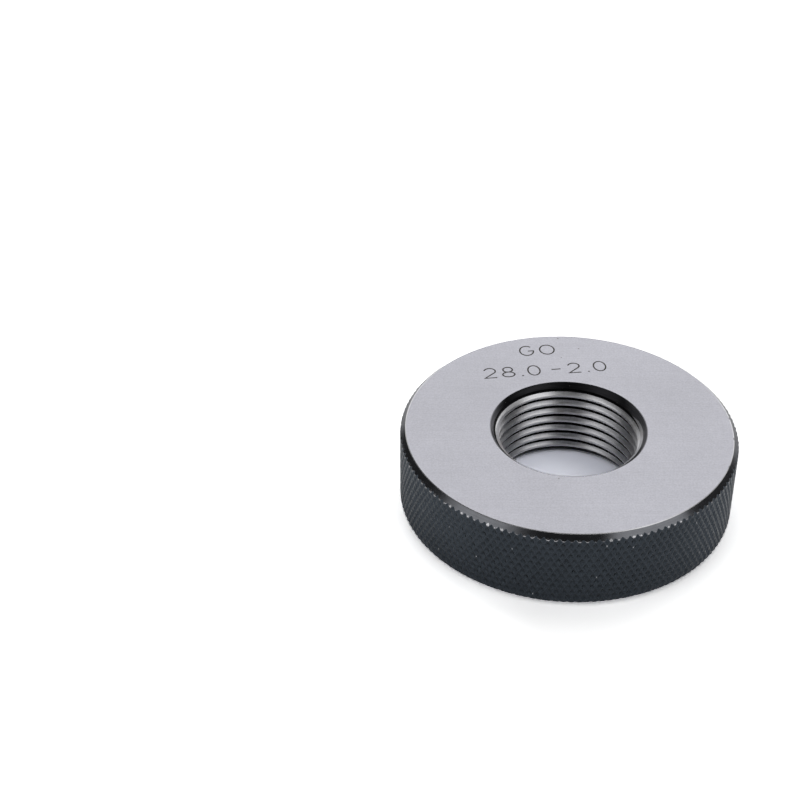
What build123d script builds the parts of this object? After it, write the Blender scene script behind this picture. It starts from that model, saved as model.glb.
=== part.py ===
"""A solid thread ring gauge of the GO kind, for an M28x2 external thread.

One hardened steel ring lies flat on its lower face. Its bore carries the gauge thread, each face
has a countersunk mouth, and the rim is diamond knurled between two chamfers.
The axis is Z, and the origin is the middle of the lower face. Lengths are in millimetres.
"""

from build123d import *
from build123d import SkipClean
import os
from math import cos, pi, radians, sin, sqrt, tan

# Ring blank
outer_diameter = 63.0
width = 16.0
rim_chamfer = 1.0

# Gauge thread, right-handed: flat crests at the minor diameter, sharp roots past the major one
thread_major = 28.0
thread_pitch = 2.0
flank_angle = 30.0
thread_azimuth = -58.0  # degrees round from X to where a root crosses the lower face
mouth_margin = 0.4  # radial step from the sharp roots out to the countersink's edge

# Diamond knurl on the rim: one diamond's size round the ring and along the axis
diamond_width = 1.65
diamond_height = 2.55
knurl_depth = 0.5

# Worked-out sizes
rim_radius = outer_diameter / 2
face_radius = rim_radius - rim_chamfer
minor_radius = thread_major / 2 - 5 / 8 * thread_pitch * sqrt(3) / 2
crest_flat = thread_pitch / 4
groove_depth = (thread_pitch - crest_flat) / 2 / tan(radians(flank_angle))
mouth_radius = minor_radius + groove_depth + mouth_margin
knurl_teeth = round(2 * pi * rim_radius / diamond_width)
knurl_band = width - 2 * rim_chamfer
knurl_half_rows = round(2 * knurl_band / diamond_height)
overrun = 2 * thread_pitch  # how far the bore's core runs past each face before it is cut out


def ring_point(radius, half_tooth, height):
    """The point at a whole number of half teeth round the axis."""
    angle = pi * half_tooth / knurl_teeth
    return Vector(radius * cos(angle), radius * sin(angle), height)


def knurl_point(half_tooth, row):
    """A diamond's tip where half_tooth + row is even, and a crossing of two grooves where it is odd.

    In the first and last rows the grooves run out through the rim chamfer, at 45 degrees.
    """
    depth = 0 if (half_tooth + row) % 2 == 0 else knurl_depth
    height = rim_chamfer + row * knurl_band / knurl_half_rows
    if row == 0:
        height -= depth
    if row == knurl_half_rows:
        height += depth
    return ring_point(rim_radius - depth, half_tooth, height)


def facet(*corners):
    """One flat face through the given corners."""
    return Face(Wire.make_polygon(corners))


def knurl_facets(half_tooth, row):
    """The two flat facets between four neighbouring points, folded along the groove."""
    near, right = knurl_point(half_tooth, row), knurl_point(half_tooth + 1, row)
    far, left = knurl_point(half_tooth + 1, row + 1), knurl_point(half_tooth, row + 1)
    if (half_tooth + row) % 2 == 0:
        return [facet(near, right, left), facet(right, far, left)]
    return [facet(near, right, far), facet(near, far, left)]


def chamfer_facets(tooth, row, height):
    """Three flat facets of the rim chamfer, from one tooth's zigzag edge to the face's edge."""
    start = 2 * tooth
    zigzag = [knurl_point(start + step, row) for step in range(3)]
    edge = [ring_point(face_radius, start + step, height) for step in (0, 2)]
    return [
        facet(edge[0], zigzag[0], zigzag[1]),
        facet(edge[0], zigzag[1], edge[1]),
        facet(edge[1], zigzag[1], zigzag[2]),
    ]


def end_facet(height):
    """One flat end of the roll, inside the chamfer."""
    return facet(*[ring_point(face_radius, 2 * tooth, height) for tooth in range(knurl_teeth)])


# The knurled roll: the whole outside of the ring, as a closed shell of flat facets
facets = [end_facet(0), end_facet(width)]
for tooth in range(knurl_teeth):
    facets += chamfer_facets(tooth, 0, 0)
    facets += chamfer_facets(tooth, knurl_half_rows, width)
for row in range(knurl_half_rows):
    for half_tooth in range(2 * knurl_teeth):
        facets += knurl_facets(half_tooth, row)
knurled_roll = Solid(Shell(facets))

# The thread groove: a V section swept along a helix, and open a little towards the axis
with BuildPart() as thread_groove:
    with BuildLine() as helix:
        Helix(
            pitch=thread_pitch,
            height=width + overrun,
            radius=minor_radius,
            center=(0, 0, -overrun / 2),
        )
    with BuildSketch(Plane(origin=helix.line @ 0, x_dir=(1, 0, 0), z_dir=(0, 1, 0))):
        opening = thread_pitch / 8
        half_opening = (groove_depth + opening) * tan(radians(flank_angle))
        with BuildLine():
            Polyline(
                (-opening, -half_opening),
                (groove_depth, 0),
                (-opening, half_opening),
                close=True,
            )
        make_face()
    sweep(path=helix.line, is_frenet=True)

# The bore's core: what is cut out of the roll, which is the bore, its groove and both mouths
with BuildPart() as bore_core:
    with BuildSketch(Plane.XY.offset(-overrun)):
        Circle(minor_radius)
    extrude(amount=width + 2 * overrun)
    add(thread_groove.part, rotation=(0, 0, thread_azimuth))
    with BuildSketch(Plane.XZ):
        for height, outward in ((0, -1), (width, 1)):
            with BuildLine():
                Polyline(
                    (0, height - outward * mouth_radius),
                    (mouth_radius + overrun / 2, height + outward * overrun / 2),
                    (0, height + outward * overrun / 2),
                    close=True,
                )
            make_face()
    revolve(axis=Axis.Z)

# The core is cut out in two halves, and the halves' edges are kept, so that no crest is one
# unbroken face for a whole turn
with BuildPart() as ring_gauge:
    add(knurled_roll)
    with SkipClean():
        for side in (Keep.TOP, Keep.BOTTOM):
            add(bore_core.part.split(Plane.YZ, keep=side), mode=Mode.SUBTRACT)

ring_gauge.part.label = "ring_gauge"
os.makedirs("parts", exist_ok=True)
export_step(ring_gauge.part, "parts/ring_gauge.step")
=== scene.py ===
"""Looks of the thread ring gauge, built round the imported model.

One detailed mesh stands for the ring: ground faces with an engraved marking, turned chamfers, a diamond
knurl at its true pitch, and the gauge thread with its countersunk mouths.
Lengths are in millimetres until a mesh is made or a node is set. Scales of textures are for each metre.
Angles are in degrees. The axis is Z, and azimuths run anticlockwise from X unless a comment says more.
"""

import math

import bmesh
import bpy
import numpy as np
from mathutils import Matrix, Vector
from mathutils.geometry import delaunay_2d_cdt


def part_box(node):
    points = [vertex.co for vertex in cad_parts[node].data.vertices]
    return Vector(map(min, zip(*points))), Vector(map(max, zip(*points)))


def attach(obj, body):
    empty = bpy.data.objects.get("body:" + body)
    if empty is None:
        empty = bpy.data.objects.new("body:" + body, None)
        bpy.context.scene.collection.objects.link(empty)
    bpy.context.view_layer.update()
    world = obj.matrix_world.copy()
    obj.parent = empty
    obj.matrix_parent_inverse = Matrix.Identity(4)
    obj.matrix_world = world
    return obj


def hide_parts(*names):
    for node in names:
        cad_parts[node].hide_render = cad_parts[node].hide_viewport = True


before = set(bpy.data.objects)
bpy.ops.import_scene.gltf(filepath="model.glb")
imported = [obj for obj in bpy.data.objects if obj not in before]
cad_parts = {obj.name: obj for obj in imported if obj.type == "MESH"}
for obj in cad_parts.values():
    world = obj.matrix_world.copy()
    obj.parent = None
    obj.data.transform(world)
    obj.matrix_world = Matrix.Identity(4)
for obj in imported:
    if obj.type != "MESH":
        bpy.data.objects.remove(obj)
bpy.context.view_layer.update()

MM = 0.001
NODE = "ring_gauge"
SEED = 28

# Ring blank, from the frame
node_low, node_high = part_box(NODE)
RIM_RADIUS = (node_high.x - node_low.x) / 2 / MM
WIDTH = (node_high.z - node_low.z) / MM
RIM_CHAMFER = 1.0
FACE_RADIUS = RIM_RADIUS - RIM_CHAMFER
EDGE_BREAK = 0.09  # how far the tiny facet on each edge of a ground face reaches into the face
EDGE_DROP = EDGE_BREAK * 0.7  # and how far it reaches down the chamfer or the mouth

# Gauge thread
THREAD_MAJOR = 28.0
THREAD_PITCH = 2.0
THREAD_AZIMUTH = -58.0  # where a root crosses the lower face
FLANK_ANGLE = 30.0  # between a flank and the radius
FLANK_SLOPE = 1 / math.tan(math.radians(FLANK_ANGLE))  # radial rise for each unit along the axis
MINOR_RADIUS = THREAD_MAJOR / 2 - 5 / 8 * THREAD_PITCH * math.sqrt(3) / 2
CREST_FLAT = THREAD_PITCH / 4
HALF_GROOVE = (THREAD_PITCH - CREST_FLAT) / 2  # half of a groove's width at the crests
GROOVE_DEPTH = HALF_GROOVE * FLANK_SLOPE
CREST_TANGENT = 0.24  # how far the rounding of a crest's corner reaches along its flat and its flank
CREST_ARC_STEPS = 3
ROOT_RELIEF = 0.1  # half the width of the root's flat, along the axis
DARK_ROOT = 0.34  # how far up each flank the painted shade of the root reaches, along the axis

# Countersunk mouths, at 45 degrees: black outside and lapped bright inside
MOUTH_MARGIN = 0.4  # radial step from the sharp roots out to the mouth's edge
MOUTH_RADIUS = MINOR_RADIUS + GROOVE_DEPTH + MOUTH_MARGIN
MOUTH_OVERRUN = 0.5  # how far a mouth's cone is drawn on inside the crests
# Where the black starts changes round the bore, which paints light and shade into the mouths
BRIGHT_MOUTH_AZIMUTHS = (-180, -90, 0, 12, 25, 90, 110, 180)
BRIGHT_MOUTH_RADII = (13.9, 13.6, 13.9, 13.8, 13.4, 13.4, 13.6, 13.9)  # where the black starts

# Diamond knurl
KNURL_TEETH = 144
HALF_TEETH = 2 * KNURL_TEETH
KNURL_HALF_ROWS = 12
KNURL_DEPTH = 0.29
PIT_VARIATION = 0.3  # how much the pits' depths differ, as a share of the depth
PIT_NARROWING = 1.7  # above 1, the pits are narrower than the lines between them

# Wear on the knurl, from 0 to about 1
RUBBED_WEAR = 0.5  # of the raised lines
RUBBED_REACH = 0.4  # how far from a line it fades out, where 1 is halfway to the next line
WORN_CROSSINGS = 0.025  # share of the crossings that are worn bright
KNOCKED_WEAR = 0.57  # of the teeth's tips at the chamfers, apart from the next three
KNOCKED_SWING = 0.25  # so much more at this azimuth, and so much less opposite it
KNOCKED_AZIMUTH = -135.0
KNOCKED_CHANCE = 0.6  # up to so much more at single tips
KNOCKED_FADE = 0.6  # share of it that is lost between two tips

# Marking on the upper face, engraved in single strokes
MARK_STROKE = 0.29
MARK_DEPTH = 0.035
MARK_HEIGHT = 3.2
MARK_STRETCH = 1.12  # width of the characters against their height
MARK_TILT = 6.0
MARK_LINES = (("GO", (-3.6, 25.6)), ("28.0 - 2.0", (-2.45, 18.85)))  # text and the middle of its line
MARK_ARC_STEP = 15  # degrees between the points of a round stroke
MITRE_LIMIT = 0.4  # a mitre is never longer than half the stroke's width over this

# Mesh
KNURL_STEPS = 4  # mesh steps along each side of a quarter diamond
RIM_STEPS = HALF_TEETH * KNURL_STEPS
FACE_STEPS = RIM_STEPS // KNURL_STEPS
HEIGHT_DIGITS = 6  # heights in the bore are rounded to this, so that equal ones are one
STRAIGHT_WITHIN = 1e-5
MERGE_DISTANCE = 1e-3  # points of the marking nearer than this become one
ALL_TRIANGLES = 0  # what the triangulation gives back
OUTER_OUTLINE = 0  # number of the upper face's outer edge in its triangulation
INNER_OUTLINE = 1  # and of its inner edge. The strokes' outlines come after
SHARP_ANGLE = 15  # edges that turn more than this stay crisp
KNURL_SHARP_ANGLE = 50  # and this inside the knurl, whose lines are rounded

# Colours of the metal
FACE_STEEL = (0.625, 0.625, 0.68)
FACE_PIT = (0.13, 0.11, 0.10)
EDGE_STEEL = (0.8, 0.8, 0.82)
EDGE_NICK = (0.10, 0.10, 0.11)
WORN_STEEL = (0.62, 0.62, 0.64)
CHAMFER_OXIDE = (0.175, 0.18, 0.195)
KNURL_OXIDE = (0.0465, 0.0555, 0.0665)
RUBBED_OXIDE = (0.067, 0.079, 0.096)
MOUTH_OXIDE = (0.022, 0.022, 0.024)
MOUTH_CHIP = (0.35, 0.34, 0.33)
LEAD_STEEL = (0.62, 0.62, 0.65)
# A little paler than the flanks' steel, which paints more light on the crests
CREST_STEEL = (0.85, 0.85, 0.87)
FLANK_STEEL = (0.80, 0.80, 0.82)
THREAD_STAIN = (0.36, 0.29, 0.24)
# Painted shade, for the roots of the thread
ROOT_SHADE = (0.012, 0.012, 0.013)
MARK_DARK = (0.035, 0.032, 0.030)
MARK_PALE = (0.10, 0.09, 0.08)

# Finishes
THREAD_ANISOTROPY = 0.9
QUARTER_TURN = 0.25  # of the anisotropy, so that highlights stretch across the lapping lines
GRINDING_TURN = 0.5  # of the grinding lines on the faces, in radians
SPOT_EDGE = 0.6  # share of a spot's radius inside which it is full
KNURL_SIDE_LIGHT = (10.0, 30.0, 1.4)  # painted light: distances along X between which the oxide grows paler, and how many times
# Painted light: the black of the mouths grows paler at their left and right ends along X, up to so many
# times
MOUTH_SIDE_LIGHT = (11.2, 14.0, 11.0)

# Camera: the photograph's own station, with its 800 x 800 frame
CAMERA_POSITION = (-31.48, -247.97, 203.04)
CAMERA_ELEVATION = 36.06
CAMERA_ROLL = 0.247
FOCAL_PIXELS = 1662.7
FRAME_PIXELS = 800
SENSOR = 36.0
NEAREST_VIEW = 10.0
FURTHEST_VIEW = 100000.0

# Floor: white paper. Only the camera and mirror-like rays see the lifts, so bounced light stays plain
FLOOR_REACH = 30000.0
FLOOR_DROP = 0.02  # below the lower face, so that the two don't share a plane
FLOOR_LEVEL = 0.8
CAMERA_LIFT = 2.0
GLOSSY_LIFT = 0.4
LEFT_PAINTED_LIGHT_EDGE = (-6.0, -26.0)  # painted light: between these on X, the camera's lift grows by 1, so the shadow on the paper is weaker on the left
FOOT_SHADOW_LEVEL = 0.15  # painted shadow: the paper round the bore's foot is darkened to this, as if little light crept in below the ring
FOOT_SHADOW_INNER_EDGE = (13.4, 14.5)
FOOT_SHADOW_OUTER_EDGE = (24.0, 20.0)
BORE_LIGHT_TINT = (0.94, 0.96, 1.04)  # painted light: a cool cast on the paper that shows through the bore
BORE_LIGHT_TINT_REACH = 1.1  # where the tint ends, in radii of the mouth

# World: a white tent with dark openings, which the metal shows. Azimuths here are from the camera's
# side, heights are sines of the elevation, and an edge is a pair: where it starts, and where it is dark
TENT_LEVEL = 1.0
BACKDROP_LEVEL = 1.0  # what the camera itself sees of the tent
FRONT_LEVEL = 0.05
FRONT_OPENING = ((-58, -28), (33, 27), (0.50, 0.62))
FRONT_SLOT = ((-30, -20), (28, 14), (0.14, 0.26))
ZENITH_MIDDLE = (0.07, -0.12, 0.99)
ZENITH_EDGE = (0.34, 0.25)
RIGHT_LEVEL = 0.08
RIGHT_OPENING = ((78, 82), (146, 116), (-0.2, -0.1))
RIGHT_TOP = (0.92, 0.70)
LEFT_LEVEL = 0.06
LEFT_OPENING = ((-84, -96), (-158, -142), (-0.2, -0.1))
LEFT_LEAN_HEIGHTS = (0.5, 0.8)
LEFT_LEAN = -14.0  # how far its first edge leans, between those heights


class MeshParts:
    """Points in millimetres with their wear, and faces with the names of their finishes."""

    def __init__(self):
        self.points = []
        self.wear = []
        self.faces = []
        self.finishes = []

    def add_points(self, points, wear=0.0):
        """Adds points and returns their indices. Wear is one number, or one for each point."""
        start = len(self.points)
        self.points += [tuple(point) for point in points]
        self.wear += np.broadcast_to(wear, len(points)).tolist()
        return list(range(start, len(self.points)))

    def add_face(self, corners, finish):
        """Adds one face, unless two of its corners are the same point."""
        if len(set(corners)) == len(corners):
            self.faces.append(tuple(corners))
            self.finishes.append(finish)


def ring(radius, height):
    """Points of a circle round the axis, anticlockwise from X."""
    angles = np.arange(FACE_STEPS) * 2 * math.pi / FACE_STEPS
    return np.stack([radius * np.cos(angles), radius * np.sin(angles), np.full(FACE_STEPS, height)], 1)


def join_rings(parts, lower, upper, finish):
    """A band of quads between two rings with as many points each. It faces outwards if upper is above."""
    steps = len(lower)
    for step in range(steps):
        after = (step + 1) % steps
        parts.add_face((lower[step], lower[after], upper[after], upper[step]), finish)


def join_fine_to_coarse(parts, fine, coarse, finish):
    """A band of triangles from a fine ring up to a ring with a whole fraction of its points."""
    ratio = len(fine) // len(coarse)
    middle = ratio // 2
    for step in range(len(coarse)):
        after = (step + 1) % len(coarse)
        run = [fine[(step * ratio + i) % len(fine)] for i in range(ratio + 1)]
        for i in range(ratio):
            tip = coarse[step] if i < middle else coarse[after]
            parts.add_face((run[i], run[i + 1], tip), finish)
        parts.add_face((run[middle], coarse[after], coarse[step]), finish)


def knurl_grid():
    """Column and row of each of the knurl's mesh points, in half diamonds round the axis and along it."""
    columns = np.arange(RIM_STEPS) / KNURL_STEPS
    rows = np.arange(KNURL_HALF_ROWS * KNURL_STEPS + 1) / KNURL_STEPS
    return np.meshgrid(columns, rows)


def from_lines(column, row):
    """How far each point is from a raised line, for the two directions in which lines run.

    It is 0 on a line and 1 halfway to the next one. Lines cross at whole columns and rows with an odd
    sum, and pits are deepest at those with an even sum.
    """
    return np.abs((column + row) % 2 - 1), np.abs((column - row) % 2 - 1)


def knurl_radius(column, row, random):
    """Radius of the knurl: broad rounded lines, and a round pit in each diamond between them."""
    from_first, from_second = from_lines(column, row)
    profile = (np.sin(math.pi / 2 * from_first) * np.sin(math.pi / 2 * from_second)) ** PIT_NARROWING
    # Each pit is a little deeper or shallower than its neighbours
    first, second = np.round((column + row) / 2), np.round((column - row) / 2)
    pit_row = (first - second).astype(int)
    pit_column = (first + second).astype(int)
    chances = random.random((KNURL_HALF_ROWS + 3, HALF_TEETH))
    chance = chances[(pit_row + 1) % len(chances), pit_column % HALF_TEETH]
    return RIM_RADIUS - KNURL_DEPTH * profile * (1 - PIT_VARIATION / 2 + PIT_VARIATION * chance)


def knurl_height(row, radius):
    """Height of the knurl. In the first and last rows the pits run out through the 45 degree chamfers."""
    depth = RIM_RADIUS - radius
    height = RIM_CHAMFER + row * (WIDTH - 2 * RIM_CHAMFER) / KNURL_HALF_ROWS
    height -= depth[0] * np.clip(1 - row, 0, 1)
    height += depth[-1] * np.clip(row - (KNURL_HALF_ROWS - 1), 0, 1)
    return height


def knurl_wear(column, row, random):
    """Wear of the knurl: rubbed lines, a few bright crossings, and bright tips at the chamfers."""
    from_line = np.minimum(*from_lines(column, row))
    chances = random.random((KNURL_HALF_ROWS + 1, HALF_TEETH))
    nearest = chances[np.round(row).astype(int), np.round(column).astype(int) % HALF_TEETH]
    on_crossing = (column % 1 == 0) & (row % 1 == 0) & ((column + row) % 2 == 1)
    rubbed = RUBBED_WEAR * np.clip(1 - from_line / RUBBED_REACH, 0, 1)
    wear = np.where(on_crossing & (nearest > 1 - WORN_CROSSINGS), 1.0, rubbed)
    from_knocked = np.radians(column * 360 / HALF_TEETH - KNOCKED_AZIMUTH)
    knocked = KNOCKED_WEAR + KNOCKED_SWING * np.cos(from_knocked) + KNOCKED_CHANCE * nearest
    at_chamfer = (row == 0) | (row == KNURL_HALF_ROWS)
    return np.where(at_chamfer, knocked * (1 - KNOCKED_FADE * from_line), wear)


def build_knurl(parts, random):
    """The knurled band. Returns its lowest and highest ring of points."""
    column, row = knurl_grid()
    radius = knurl_radius(column, row, random)
    height = knurl_height(row, radius)
    wear = knurl_wear(column, row, random)
    angles = np.arange(RIM_STEPS) * 2 * math.pi / RIM_STEPS
    points = np.stack([radius * np.cos(angles), radius * np.sin(angles), height], 2)
    rings = [parts.add_points(points[i], wear[i]) for i in range(len(points))]
    for i in range(len(rings) - 1):
        for j in range(RIM_STEPS):
            after = (j + 1) % RIM_STEPS
            near, right, far, left = rings[i][j], rings[i][after], rings[i + 1][after], rings[i + 1][j]
            # Each quad is split the way that the nearest raised line runs
            if (j // KNURL_STEPS + i // KNURL_STEPS) % 2 == 0:
                parts.add_face((near, right, left), "knurl")
                parts.add_face((right, far, left), "knurl")
            else:
                parts.add_face((near, right, far), "knurl")
                parts.add_face((near, far, left), "knurl")
    return rings[0], rings[-1]


def crest_corner():
    """Points that round off a crest's corner, from the flat to the flank.

    Each says how far it is past the sharp corner, along the axis, and how far outwards.
    """
    radius = CREST_TANGENT / math.tan(math.radians(FLANK_ANGLE))
    points = []
    for step in range(CREST_ARC_STEPS + 1):
        turn = math.radians((90 - FLANK_ANGLE) * step / CREST_ARC_STEPS)
        points.append((radius * math.sin(turn) - CREST_TANGENT, radius * (1 - math.cos(turn))))
    return points


def thread_knots(azimuth):
    """Height and radius of the thread's corners at one azimuth, upwards, with the finish above each."""
    first_root = THREAD_PITCH * (((azimuth - THREAD_AZIMUTH) / 360) % 1) - THREAD_PITCH
    dark_radius = MINOR_RADIUS + GROOVE_DEPTH - DARK_ROOT * FLANK_SLOPE
    root_radius = MINOR_RADIUS + GROOVE_DEPTH - ROOT_RELIEF * FLANK_SLOPE
    corner = [(HALF_GROOVE - past, outward) for past, outward in reversed(crest_corner())]
    knots = []
    for turn in range(math.ceil(WIDTH / THREAD_PITCH) + 2):
        root = first_root + turn * THREAD_PITCH
        lower = [(root - away, MINOR_RADIUS + outward, "crest") for away, outward in reversed(corner)]
        upper = [(root + away, MINOR_RADIUS + outward, "crest") for away, outward in corner]
        lower[-1] = (*lower[-1][:2], "thread")
        knots += lower
        knots.append((root - DARK_ROOT, dark_radius, "root"))
        knots.append((root - ROOT_RELIEF, root_radius, "root"))
        knots.append((root + ROOT_RELIEF, root_radius, "root"))
        knots.append((root + DARK_ROOT, dark_radius, "thread"))
        knots += upper
    return knots


def mouth_knots(azimuth):
    """Height and radius of the two mouths' corners, upwards, with the finish above each."""
    signed_azimuth = (azimuth + 180) % 360 - 180
    # The black band's width round the bore is painted light and shade
    bright_radius = float(np.interp(signed_azimuth, BRIGHT_MOUTH_AZIMUTHS, BRIGHT_MOUTH_RADII))
    bottom = [
        (0.0, MOUTH_RADIUS + EDGE_BREAK, "mouth"),
        (EDGE_DROP, MOUTH_RADIUS - EDGE_DROP, "mouth"),
        (MOUTH_RADIUS - bright_radius, bright_radius, "lead"),
        (MOUTH_RADIUS - MINOR_RADIUS + MOUTH_OVERRUN, MINOR_RADIUS - MOUTH_OVERRUN, "lead"),
    ]
    above = ("lead", "mouth", "mouth", "mouth")
    top = [(WIDTH - z, radius, finish) for (z, radius, _), finish in zip(reversed(bottom), above)]
    return bottom + top


def value_at(knots, z):
    """Radius and finish of a line of corners at height z."""
    for (z0, r0, finish), (z1, r1, _) in zip(knots, knots[1:]):
        if z0 <= z <= z1:
            return r0 + (r1 - r0) * (z - z0) / (z1 - z0), finish
    return knots[-1][1], knots[-1][2]


def without_straight_corners(line):
    """A line of (height, radius, finish), less the corners where neither direction nor finish changes."""
    kept = [line[0]]
    for here, after in zip(line[1:], line[2:]):
        before = kept[-1]
        share = (here[0] - before[0]) / (after[0] - before[0])
        off_line = abs(before[1] + share * (after[1] - before[1]) - here[1])
        if off_line >= STRAIGHT_WITHIN or here[2] != before[2]:
            kept.append(here)
    return kept + [line[-1]]


def bore_line(azimuth):
    """The bore's outline at one azimuth: the deeper of the thread and the mouths, upwards."""
    thread, mouth = thread_knots(azimuth), mouth_knots(azimuth)
    heights = {round(z, HEIGHT_DIGITS) for z, _, _ in thread + mouth if 0 <= z <= WIDTH}
    ordered = sorted(heights)
    gaps = [value_at(thread, z)[0] - value_at(mouth, z)[0] for z in ordered]
    # The outline also has a corner where the two surfaces cross
    for i in range(len(ordered) - 1):
        if gaps[i] * gaps[i + 1] < 0:
            share = gaps[i] / (gaps[i] - gaps[i + 1])
            heights.add(round(ordered[i] + share * (ordered[i + 1] - ordered[i]), HEIGHT_DIGITS))
    ordered = sorted(heights)
    line = []
    for z, above in zip(ordered, ordered[1:] + [WIDTH]):
        middle = (z + above) / 2
        _, finish = max(value_at(thread, middle), value_at(mouth, middle))
        line.append((z, max(value_at(thread, z)[0], value_at(mouth, z)[0]), finish))
    return without_straight_corners(line)


def join_lines(parts, here, there):
    """A strip of triangles between two lines of (height, point, finish), both upwards."""
    i = j = 0
    while i < len(here) - 1 or j < len(there) - 1:
        if j == len(there) - 1 or (i < len(here) - 1 and here[i + 1][0] <= there[j + 1][0]):
            parts.add_face((here[i][1], here[i + 1][1], there[j][1]), here[i][2])
            i += 1
        else:
            parts.add_face((here[i][1], there[j + 1][1], there[j][1]), there[j][2])
            j += 1


def build_bore(parts):
    """The bore, as a strip between each pair of neighbouring azimuths. Returns its two end rings."""
    lines = []
    for step in range(FACE_STEPS):
        azimuth = step * 360 / FACE_STEPS
        turn = math.radians(azimuth)
        line = bore_line(azimuth)
        points = parts.add_points([(r * math.cos(turn), r * math.sin(turn), z) for z, r, _ in line])
        lines.append([(z, point, finish) for (z, _, finish), point in zip(line, points)])
    for here, there in zip(lines, lines[1:] + lines[:1]):
        join_lines(parts, here, there)
    return [line[0][1] for line in lines], [line[-1][1] for line in lines]


def arc(center_x, center_y, radius_x, radius_y, start, end):
    """Points of an elliptical arc, from one angle to another."""
    count = max(2, round(abs(end - start) / MARK_ARC_STEP) + 1)
    turns = np.radians(np.linspace(start, end, count))
    return [(center_x + radius_x * math.cos(t), center_y + radius_y * math.sin(t)) for t in turns]


def loop(center_x, center_y, radius_x, radius_y):
    """A closed ellipse as two strokes that share their ends."""
    return [
        arc(center_x, center_y, radius_x, radius_y, 90, 270),
        arc(center_x, center_y, radius_x, radius_y, 270, 450),
    ]


# Strokes of each character, one unit high, and how far on the next character starts
GLYPHS = {
    "G": ([arc(0.38, 0.5, 0.38, 0.5, 48, 345) + [(0.75, 0.47), (0.44, 0.47)]], 1.12),
    "O": (loop(0.4, 0.5, 0.4, 0.5), 1.12),
    "0": (loop(0.33, 0.5, 0.33, 0.5), 1.0),
    "2": ([arc(0.33, 0.7, 0.31, 0.3, 165, -35) + [(0.0, 0.0), (0.66, 0.0)]], 1.0),
    "8": (loop(0.33, 0.75, 0.26, 0.25) + loop(0.33, 0.25, 0.33, 0.25), 1.0),
    "-": ([[(0.0, 0.48), (0.5, 0.48)]], 0.62),
    ".": ([[(0.03, 0.03), (0.13, 0.03)]], 0.42),
    " ": ([], 0.3),
}


def stroke_outline(points, width):
    """The closed outline of a stroke along a line of points. Ends are flat, and corners are mitred."""
    line = np.array(points)
    runs = np.diff(line, axis=0)
    runs /= np.linalg.norm(runs, axis=1)[:, None]
    before, after = np.vstack([runs[:1], runs]), np.vstack([runs, runs[-1:]])
    along = before + after
    along /= np.linalg.norm(along, axis=1)[:, None]
    cosine = np.sum(along * after, axis=1)[:, None]
    aside = np.stack([-along[:, 1], along[:, 0]], 1) * width / 2 / np.maximum(cosine, MITRE_LIMIT)
    return np.vstack([line - aside, (line + aside)[::-1]])


def mark_outlines():
    """The outline of each stroke of the marking, in the plane of the face."""
    turn = math.radians(MARK_TILT)
    rotation = np.array([[math.cos(turn), math.sin(turn)], [-math.sin(turn), math.cos(turn)]])
    scale = np.array([MARK_HEIGHT * MARK_STRETCH, MARK_HEIGHT])
    outlines = []
    for text, middle in MARK_LINES:
        length = 0.0
        placed = []
        for character in text:
            strokes, advance = GLYPHS[character]
            placed += [(stroke, length) for stroke in strokes]
            length += advance
        for stroke, offset in placed:
            line = (np.array(stroke) + [offset - length / 2, -0.5]) * scale
            outlines.append(stroke_outline(line, MARK_STROKE) @ rotation + middle)
    return outlines


def triangulate_marked_face(parts, outer, inner):
    """Flat triangles over the upper face, its marking and the bore.

    Returns each flat point with its index in the mesh, or None where the mesh has no such point yet,
    and each triangle with the numbers of the outlines that it lies in.
    """
    edges = outer + inner
    flat = [Vector(parts.points[i][:2]) for i in edges]
    outlines = [list(range(len(outer))), list(range(len(outer), len(edges)))]
    for outline in mark_outlines():
        outlines.append(list(range(len(flat), len(flat) + len(outline))))
        flat += [Vector(point) for point in outline]
    spots, _, triangles, spot_sources, _, triangle_sources = delaunay_2d_cdt(
        flat, [], outlines, ALL_TRIANGLES, MERGE_DISTANCE
    )
    known = [next((edges[i] for i in sources if i < len(edges)), None) for sources in spot_sources]
    return list(zip(spots, known)), list(zip(triangles, triangle_sources))


def build_marked_face(parts, outer, inner):
    """The upper face between two rings of points, with the marking cut into it."""
    spots, triangles = triangulate_marked_face(parts, outer, inner)
    index = []
    for spot, known in spots:
        index.append(parts.add_points([(spot.x, spot.y, WIDTH)])[0] if known is None else known)
    sunk = {}
    edges = {}
    for corners, outlines in triangles:
        if INNER_OUTLINE in outlines or OUTER_OUTLINE not in outlines:
            continue
        if max(outlines) == OUTER_OUTLINE:
            parts.add_face([index[corner] for corner in corners], "face")
            continue
        for corner in corners:
            if corner not in sunk:
                spot, _ = spots[corner]
                sunk[corner] = parts.add_points([(spot.x, spot.y, WIDTH - MARK_DEPTH)])[0]
        parts.add_face([sunk[corner] for corner in corners], "mark")
        for start, end in zip(corners, (*corners[1:], corners[0])):
            edges[(start, end)] = True
    # A wall stands on each edge that only one triangle of the marking has
    for start, end in edges:
        if (end, start) not in edges:
            parts.add_face((index[start], index[end], sunk[end], sunk[start]), "mark")


def build_chamfer(parts, knurl_edge, upwards):
    """The chamfer from the knurl to a face, with its broken edge. Returns the face's outer ring."""
    face = WIDTH if upwards else 0.0
    inward = -1 if upwards else 1
    cone_edge = parts.add_points(ring(FACE_RADIUS + EDGE_DROP, face + inward * EDGE_DROP))
    face_edge = parts.add_points(ring(FACE_RADIUS - EDGE_BREAK, face))
    start = len(parts.faces)
    join_fine_to_coarse(parts, knurl_edge, cone_edge, "chamfer")
    join_rings(parts, cone_edge, face_edge, "edge")
    if not upwards:
        parts.faces[start:] = [corners[::-1] for corners in parts.faces[start:]]
    return face_edge


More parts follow.
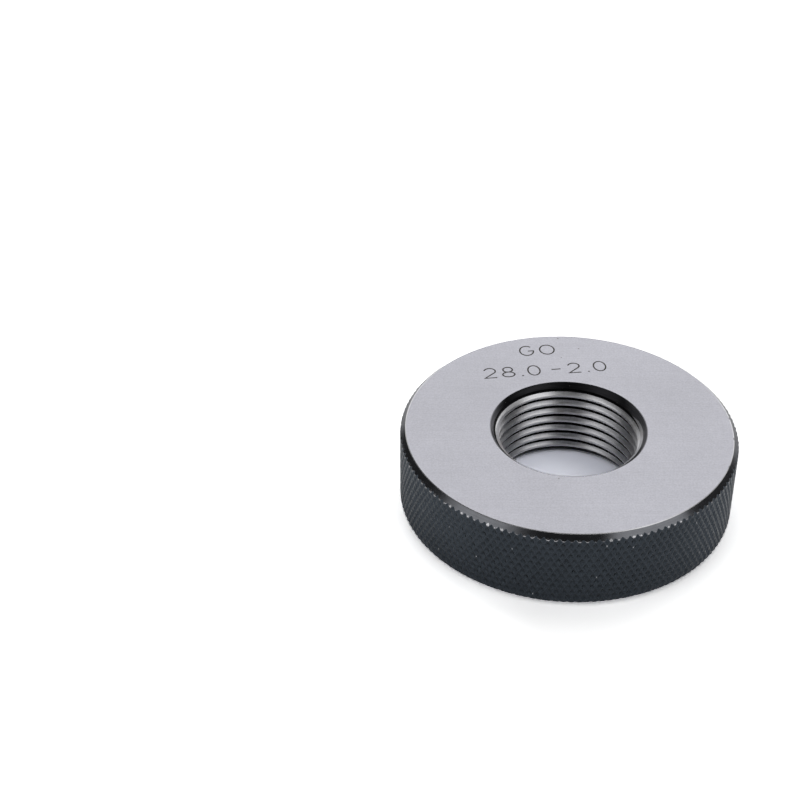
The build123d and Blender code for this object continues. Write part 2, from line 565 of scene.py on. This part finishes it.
def build_ring():
    """The whole ring as one closed mesh."""
    parts = MeshParts()
    knurl_low, knurl_high = build_knurl(parts, np.random.RandomState(SEED))
    mouth_low, mouth_high = build_bore(parts)
    face_low = build_chamfer(parts, knurl_low, upwards=False)
    join_rings(parts, mouth_low, face_low, "face")
    face_high = build_chamfer(parts, knurl_high, upwards=True)
    build_marked_face(parts, face_high, mouth_high)
    return parts


class Nodes:
    """Short names for making and linking the nodes of one tree."""

    def __init__(self, tree):
        self.tree = tree

    def set_input(self, socket, value):
        """Links another socket to this one, or sets its own value. None leaves it as it is."""
        if isinstance(value, bpy.types.NodeSocket):
            self.tree.links.new(value, socket)
        elif value is not None:
            socket.default_value = value

    def make(self, kind, inputs=(), output=0, **settings):
        """A new node. Inputs are numbers, vectors or sockets, by place or name.

        Returns one of its outputs, or the node itself where output is None.
        """
        node = self.tree.nodes.new(kind)
        for name, value in settings.items():
            setattr(node, name, value)
        pairs = inputs.items() if isinstance(inputs, dict) else enumerate(inputs)
        for key, value in pairs:
            self.set_input(node.inputs[key], value)
        return node if output is None else node.outputs[output]

    def math(self, operation, *values):
        """One operation on numbers or sockets."""
        return self.make("ShaderNodeMath", values, operation=operation)

    def product(self, *values):
        """All the values multiplied."""
        result = values[0]
        for value in values[1:]:
            result = self.math("MULTIPLY", result, value)
        return result

    def separate(self, vector):
        """The X, Y and Z of a vector."""
        return self.make("ShaderNodeSeparateXYZ", [vector], output=None).outputs

    def step(self, value, start, end):
        """0 before start and 1 after end, with a smooth rise between. Start may be above end."""
        inputs = [value, start, end, 0.0, 1.0]
        return self.make("ShaderNodeMapRange", inputs, interpolation_type="SMOOTHSTEP")

    def spread(self, value, low, high):
        """A value from 0 to 1, spread over another range."""
        return self.make("ShaderNodeMapRange", [value, 0.0, 1.0, low, high])


class Metal(Nodes):
    """One material under construction: its Principled shader and the coordinates on the ring."""

    def __init__(self, name, metallic=1.0):
        self.material = bpy.data.materials.new(name)
        self.material.use_nodes = True
        super().__init__(self.material.node_tree)
        self.principled = self.tree.nodes["Principled BSDF"]
        self.principled.inputs["Metallic"].default_value = metallic
        self.place = self.make("ShaderNodeTexCoord", output="Object")

    def link(self, socket, name):
        """Links a socket to one of the shader's inputs."""
        self.tree.links.new(socket, self.principled.inputs[name])

    def lap_round(self, anisotropy):
        """Stretches the highlights, as fine lines round the axis do."""
        self.principled.inputs["Anisotropic"].default_value = anisotropy
        self.principled.inputs["Anisotropic Rotation"].default_value = QUARTER_TURN
        self.link(self.make("ShaderNodeTangent", direction_type="RADIAL", axis="Z"), "Tangent")

    def turned_place(self, round_scale, across_scale):
        """Coordinates that stretch a texture round the axis, as turning and lapping do."""
        x, y, z = self.separate(self.place)
        radius = self.math("SQRT", self.math("ADD", self.product(x, x), self.product(y, y)))
        azimuth = self.math("ARCTAN2", y, x)
        scaled = (
            self.product(azimuth, round_scale),
            self.product(radius, across_scale),
            self.product(z, across_scale),
        )
        return self.make("ShaderNodeCombineXYZ", scaled)

    def noise(self, scale, detail, place=None):
        """Noise from 0 to 1, on the ring's own coordinates unless others are given."""
        inputs = {"Vector": self.place if place is None else place, "Scale": scale, "Detail": detail}
        return self.make("ShaderNodeTexNoise", inputs)

    def spots(self, scale, size, share):
        """1 in small round spots and 0 elsewhere. Only a share of the texture's cells has a spot."""
        cell = self.make("ShaderNodeTexVoronoi", {"Vector": self.place, "Scale": scale}, output=None)
        near = self.step(cell.outputs["Distance"], size, size * SPOT_EDGE)
        chance = self.make("ShaderNodeSeparateColor", [cell.outputs["Color"]])
        return self.product(near, self.math("LESS_THAN", chance, share))

    def painted_side_light(self, start, end, times):
        """Painted light on the sides: 1 near the plane X = 0, which grows to so many times between two
        distances from it.
        """
        x, _, _ = self.separate(self.place)
        return self.spread(self.step(self.math("ABSOLUTE", x), start * MM, end * MM), 1.0, times)

    def wear(self):
        """The mesh's own wear."""
        return self.make("ShaderNodeAttribute", attribute_name="wear", output="Fac")

    def mix(self, share, first, second):
        """First colour where share is 0, second where it is 1."""
        node = self.make("ShaderNodeMix", data_type="RGBA", output=None)
        inputs = {socket.identifier: socket for socket in node.inputs}
        self.set_input(inputs["Factor_Float"], share)
        for name, color in (("A_Color", first), ("B_Color", second)):
            self.set_input(inputs[name], (*color, 1) if isinstance(color, tuple) else color)
        return next(socket for socket in node.outputs if socket.identifier == "Result_Color")

    def scaled(self, color, level):
        """A colour multiplied by a number."""
        return self.make("ShaderNodeVectorMath", {0: color, "Scale": level}, operation="SCALE")

    def bump(self, height, strength, distance):
        """Fine relief."""
        inputs = {"Strength": strength, "Distance": distance * MM, "Height": height}
        self.link(self.make("ShaderNodeBump", inputs), "Normal")


def ground_face():
    """Ground and lapped steel: fine mottling, faint grinding lines and a few pits."""
    metal = Metal("ground_face")
    grain = metal.noise(scale=3200, detail=4)
    cloud = metal.noise(scale=55, detail=2)
    stretch = (60, 2600, 1)
    turned = {"Vector": metal.place, "Rotation": (0, 0, GRINDING_TURN), "Scale": stretch}
    lines = metal.noise(scale=1, detail=2, place=metal.make("ShaderNodeMapping", turned))
    pits = metal.product(metal.spots(scale=260, size=0.055, share=0.22), metal.spread(cloud, 0.3, 0.9))
    tone = metal.product(
        metal.spread(grain, 0.78, 1.18), metal.spread(cloud, 0.92, 1.06), metal.spread(lines, 0.94, 1.06)
    )
    metal.link(metal.mix(pits, metal.scaled(FACE_STEEL, tone), FACE_PIT), "Base Color")
    metal.link(metal.spread(metal.noise(scale=900, detail=3), 0.42, 0.54), "Roughness")
    metal.bump(metal.math("ADD", grain, lines), strength=0.25, distance=0.004)
    return metal.material


def broken_edge():
    """The bright facet between a ground face and its chamfer, nicked here and there."""
    metal = Metal("broken_edge")
    nicks = metal.step(metal.noise(scale=900, detail=3), 0.60, 0.72)
    tone = metal.spread(metal.noise(scale=400, detail=3), 0.85, 1.15)
    metal.link(metal.mix(nicks, metal.scaled(EDGE_STEEL, tone), EDGE_NICK), "Base Color")
    metal.link(metal.spread(nicks, 0.22, 0.4), "Roughness")
    metal.bump(metal.noise(scale=2500, detail=2), strength=0.2, distance=0.01)
    return metal.material


def turned_chamfer():
    """Blackened turned steel, bright where the knurl's teeth have worn through."""
    metal = Metal("turned_chamfer")
    lines = metal.noise(scale=1, detail=3, place=metal.turned_place(3, 9000))
    blotch = metal.noise(scale=700, detail=3)
    worn = metal.step(metal.product(metal.wear(), metal.spread(blotch, 0.7, 1.3)), 0.80, 0.97)
    tone = metal.product(metal.spread(lines, 0.8, 1.2), metal.spread(blotch, 0.8, 1.2))
    metal.link(metal.mix(worn, metal.scaled(CHAMFER_OXIDE, tone), WORN_STEEL), "Base Color")
    metal.link(metal.spread(blotch, 0.12, 0.22), "Roughness")
    metal.bump(lines, strength=0.2, distance=0.006)
    return metal.material


def knurl_oxide():
    """Blackened steel in the knurl: rubbed paler along its lines, with a few bright spots, and painted
    light that makes it paler towards its left and right sides.
    """
    metal = Metal("knurl_oxide")
    blotch = metal.noise(scale=1300, detail=4)
    cloud = metal.noise(scale=150, detail=2)
    worn = metal.product(metal.wear(), metal.spread(blotch, 0.7, 1.3))
    # The tone has painted light in it: the oxide is paler towards the sides along X
    tone = metal.product(
        metal.spread(blotch, 0.6, 1.4), metal.spread(cloud, 0.8, 1.2), metal.painted_side_light(*KNURL_SIDE_LIGHT)
    )
    rubbed = metal.mix(metal.step(worn, 0.05, 0.55), metal.scaled(KNURL_OXIDE, tone), RUBBED_OXIDE)
    metal.link(metal.mix(metal.step(worn, 0.62, 0.88), rubbed, WORN_STEEL), "Base Color")
    metal.link(metal.spread(metal.noise(scale=2500, detail=2), 0.22, 0.34), "Roughness")
    metal.bump(blotch, strength=0.3, distance=0.02)
    return metal.material


def mouth_oxide():
    """Blackened steel in the countersinks, with painted light that makes it paler at their left and right
    ends.
    """
    metal = Metal("mouth_oxide")
    lines = metal.noise(scale=1, detail=3, place=metal.turned_place(6, 6000))
    chips = metal.product(metal.spots(scale=1500, size=0.22, share=0.12), metal.spread(lines, 0.1, 0.6))
    # The tone has painted light in it: the black is paler at the mouths' ends along X
    tone = metal.product(metal.spread(lines, 0.3, 1.7), metal.painted_side_light(*MOUTH_SIDE_LIGHT))
    metal.link(metal.mix(chips, metal.scaled(MOUTH_OXIDE, tone), MOUTH_CHIP), "Base Color")
    metal.link(metal.spread(lines, 0.28, 0.42), "Roughness")
    metal.bump(lines, strength=0.3, distance=0.01)
    return metal.material


def lapped_thread(name, color, roughness):
    """Bright lapped steel in the bore: lines round the axis, short scratches and faint brown stains."""
    metal = Metal(name)
    metal.lap_round(THREAD_ANISOTROPY)
    lines = metal.noise(scale=1, detail=3, place=metal.turned_place(4, 12000))
    scratches = metal.noise(scale=1, detail=2, place=metal.turned_place(160, 700))
    stains = metal.spread(metal.step(metal.noise(scale=170, detail=3), 0.56, 0.72), 0.0, 0.35)
    tone = metal.product(metal.spread(lines, 0.8, 1.2), metal.spread(scratches, 0.8, 1.2))
    metal.link(metal.mix(stains, metal.scaled(color, tone), THREAD_STAIN), "Base Color")
    metal.link(metal.spread(scratches, roughness - 0.08, roughness + 0.08), "Roughness")
    metal.bump(metal.math("ADD", lines, scratches), strength=0.15, distance=0.008)
    return metal.material


def painted_root_shade():
    """Painted shade in the thread's roots, where little light reaches."""
    metal = Metal("painted_root_shade")
    mottle = metal.noise(scale=1, detail=3, place=metal.turned_place(30, 3000))
    metal.link(metal.scaled(ROOT_SHADE, metal.spread(mottle, 0.5, 1.8)), "Base Color")
    metal.link(metal.spread(mottle, 0.45, 0.65), "Roughness")
    metal.bump(mottle, strength=0.2, distance=0.01)
    return metal.material


def engraving():
    """Etched recess of the marking, stained brown."""
    metal = Metal("engraving", metallic=0.4)
    mottle = metal.noise(scale=2200, detail=4)
    metal.link(metal.mix(mottle, MARK_DARK, MARK_PALE), "Base Color")
    metal.link(metal.spread(mottle, 0.5, 0.75), "Roughness")
    metal.bump(mottle, strength=0.5, distance=0.02)
    return metal.material


def make_finishes():
    """The material of each finish, in the order of the mesh's material slots."""
    return {
        "face": ground_face(),
        "edge": broken_edge(),
        "chamfer": turned_chamfer(),
        "knurl": knurl_oxide(),
        "mouth": mouth_oxide(),
        "lead": lapped_thread("lapped_lead", LEAD_STEEL, roughness=0.36),
        "crest": lapped_thread("lapped_crest", CREST_STEEL, roughness=0.37),
        "thread": lapped_thread("lapped_flank", FLANK_STEEL, roughness=0.37),
        "root": painted_root_shade(),
        "mark": engraving(),
    }


def mark_sharp_edges(mesh, knurl):
    """Keeps an edge crisp where its faces turn sharply. Knurl is the number of the knurl's material."""
    shape = bmesh.new()
    shape.from_mesh(mesh)
    for edge in shape.edges:
        in_knurl = all(face.material_index == knurl for face in edge.link_faces)
        limit = KNURL_SHARP_ANGLE if in_knurl else SHARP_ANGLE
        edge.smooth = edge.calc_face_angle(0) < math.radians(limit)
    shape.to_mesh(mesh)
    shape.free()


def make_object(name, parts, finishes):
    """A Blender mesh object from the collected points and faces."""
    mesh = bpy.data.meshes.new(name)
    mesh.from_pydata([tuple(c * MM for c in point) for point in parts.points], [], parts.faces)
    for material in finishes.values():
        mesh.materials.append(material)
    order = list(finishes)
    mesh.polygons.foreach_set("material_index", [order.index(finish) for finish in parts.finishes])
    wear = mesh.attributes.new("wear", "FLOAT", "POINT")
    wear.data.foreach_set("value", parts.wear)
    mesh.validate()
    mesh.shade_smooth()
    mark_sharp_edges(mesh, order.index("knurl"))
    obj = bpy.data.objects.new(name, mesh)
    bpy.context.scene.collection.objects.link(obj)
    return obj


def make_camera():
    """The camera, where the photograph was taken from."""
    data = bpy.data.cameras.new("camera")
    data.sensor_width = SENSOR
    data.lens = FOCAL_PIXELS * SENSOR / FRAME_PIXELS
    data.clip_start = NEAREST_VIEW * MM
    data.clip_end = FURTHEST_VIEW * MM
    camera = bpy.data.objects.new("camera", data)
    tilt = Matrix.Rotation(math.radians(90 - CAMERA_ELEVATION), 4, "X")
    roll = Matrix.Rotation(math.radians(-CAMERA_ROLL), 4, "Z")
    camera.matrix_world = Matrix.Translation(Vector(CAMERA_POSITION) * MM) @ tilt @ roll
    bpy.context.scene.collection.objects.link(camera)
    bpy.context.scene.camera = camera


def step_in_mm(nodes, value, edge):
    """A step of a value in metres, between two lengths in millimetres."""
    start, end = edge
    return nodes.step(value, start * MM, end * MM)


def paper_level(nodes, place, radius):
    """How bright the paper is, with painted light on its left and a painted shadow round the bore's foot.
    """
    rays = nodes.make("ShaderNodeLightPath", output=None).outputs
    camera_lift = nodes.product(rays["Is Camera Ray"], CAMERA_LIFT)
    glossy_lift = nodes.product(rays["Is Glossy Ray"], GLOSSY_LIFT)
    level = nodes.math("ADD", nodes.math("ADD", camera_lift, glossy_lift), FLOOR_LEVEL)
    # The photograph's shadow is weaker on the left
    # Painted light: the camera sees the paper paler on the left, which weakens the shadow there
    x, _, _ = nodes.separate(place)
    left_painted_light = nodes.product(step_in_mm(nodes, x, LEFT_PAINTED_LIGHT_EDGE), rays["Is Camera Ray"])
    level = nodes.math("ADD", level, left_painted_light)
    # Painted shadow: darker paper in a ring round the bore's foot, under the ring
    foot_shadow = nodes.product(
        step_in_mm(nodes, radius, FOOT_SHADOW_INNER_EDGE), step_in_mm(nodes, radius, FOOT_SHADOW_OUTER_EDGE)
    )
    return nodes.product(level, nodes.spread(foot_shadow, 1.0, FOOT_SHADOW_LEVEL))


def white_paper():
    """The floor's material."""
    material = bpy.data.materials.new("white_floor")
    material.use_nodes = True
    material.node_tree.nodes.clear()
    nodes = Nodes(material.node_tree)
    place = nodes.make("ShaderNodeTexCoord", output="Object")
    radius = nodes.make("ShaderNodeVectorMath", [place], operation="LENGTH", output="Value")
    level = paper_level(nodes, place, radius)
    # Painted light: a cool cast on the paper inside the bore's radius
    in_bore = step_in_mm(nodes, radius, (MOUTH_RADIUS * BORE_LIGHT_TINT_REACH, MOUTH_RADIUS))
    channels = [nodes.product(level, nodes.spread(in_bore, 1.0, tint)) for tint in BORE_LIGHT_TINT]
    color = nodes.make("ShaderNodeCombineColor", channels)
    diffuse = nodes.make("ShaderNodeBsdfDiffuse", {"Color": color})
    nodes.make("ShaderNodeOutputMaterial", {"Surface": diffuse}, output=None)
    return material


def make_floor():
    """A wide plain floor."""
    mesh = bpy.data.meshes.new("floor")
    reach = FLOOR_REACH * MM
    corners = [(-reach, -reach, 0), (reach, -reach, 0), (reach, reach, 0), (-reach, reach, 0)]
    mesh.from_pydata(corners, [], [(0, 1, 2, 3)])
    mesh.materials.append(white_paper())
    floor = bpy.data.objects.new("floor", mesh)
    floor.location.z = -FLOOR_DROP * MM
    bpy.context.scene.collection.objects.link(floor)


def opening(nodes, azimuth, height, edges):
    """1 inside an opening of the tent and 0 outside it. Two of its edges are upright, and one is low."""
    first, second, low = edges
    upright = nodes.product(nodes.step(azimuth, *first), nodes.step(azimuth, *second))
    return nodes.product(upright, nodes.step(height, *low))


def leaning_opening(nodes, azimuth, height, edges):
    """The same, with a first edge that leans over higher up."""
    first, second, low = edges
    lean = nodes.make("ShaderNodeMapRange", [height, *LEFT_LEAN_HEIGHTS, 0.0, LEFT_LEAN])
    leaning = nodes.step(nodes.math("ADD", azimuth, lean), *first)
    return nodes.product(leaning, nodes.step(azimuth, *second), nodes.step(height, *low))


def tent_openings(nodes):
    """Each dark opening of the tent, as 1 inside and 0 outside, with its level."""
    direction = nodes.make("ShaderNodeTexCoord", output="Generated")
    x, y, height = nodes.separate(direction)
    azimuth = nodes.product(nodes.math("ARCTAN2", x, nodes.product(y, -1.0)), 180 / math.pi)
    # The camera looks through the front one, which goes on to the zenith and has a slot below it
    from_zenith = nodes.make(
        "ShaderNodeVectorMath", [direction, ZENITH_MIDDLE], operation="DISTANCE", output="Value"
    )
    front = opening(nodes, azimuth, height, FRONT_OPENING)
    front = nodes.math("MAXIMUM", front, nodes.step(from_zenith, *ZENITH_EDGE))
    front = nodes.math("MAXIMUM", front, opening(nodes, azimuth, height, FRONT_SLOT))
    right = opening(nodes, azimuth, height, RIGHT_OPENING)
    right = nodes.product(right, nodes.step(height, *RIGHT_TOP))
    left = leaning_opening(nodes, azimuth, height, LEFT_OPENING)
    return (front, FRONT_LEVEL), (right, RIGHT_LEVEL), (left, LEFT_LEVEL)


def make_world():
    """A white tent all round, open in a few places that metal shows as dark."""
    world = bpy.data.worlds.new("white_tent")
    world.use_nodes = True
    bpy.context.scene.world = world
    world.node_tree.nodes.clear()
    nodes = Nodes(world.node_tree)
    level = TENT_LEVEL
    for inside, dark_level in tent_openings(nodes):
        level = nodes.spread(inside, level, dark_level)
    camera_ray = nodes.make("ShaderNodeLightPath", output="Is Camera Ray")
    shown = nodes.spread(camera_ray, level, BACKDROP_LEVEL)
    color = nodes.make("ShaderNodeCombineColor", [shown, shown, shown])
    background = nodes.make("ShaderNodeBackground", {"Color": color})
    nodes.make("ShaderNodeOutputWorld", {"Surface": background}, output=None)


ring_body = make_object("ring_body", build_ring(), make_finishes())
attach(ring_body, "root")
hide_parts(NODE)

make_camera()
make_floor()
make_world()

bpy.context.scene.view_settings.view_transform = "Standard"
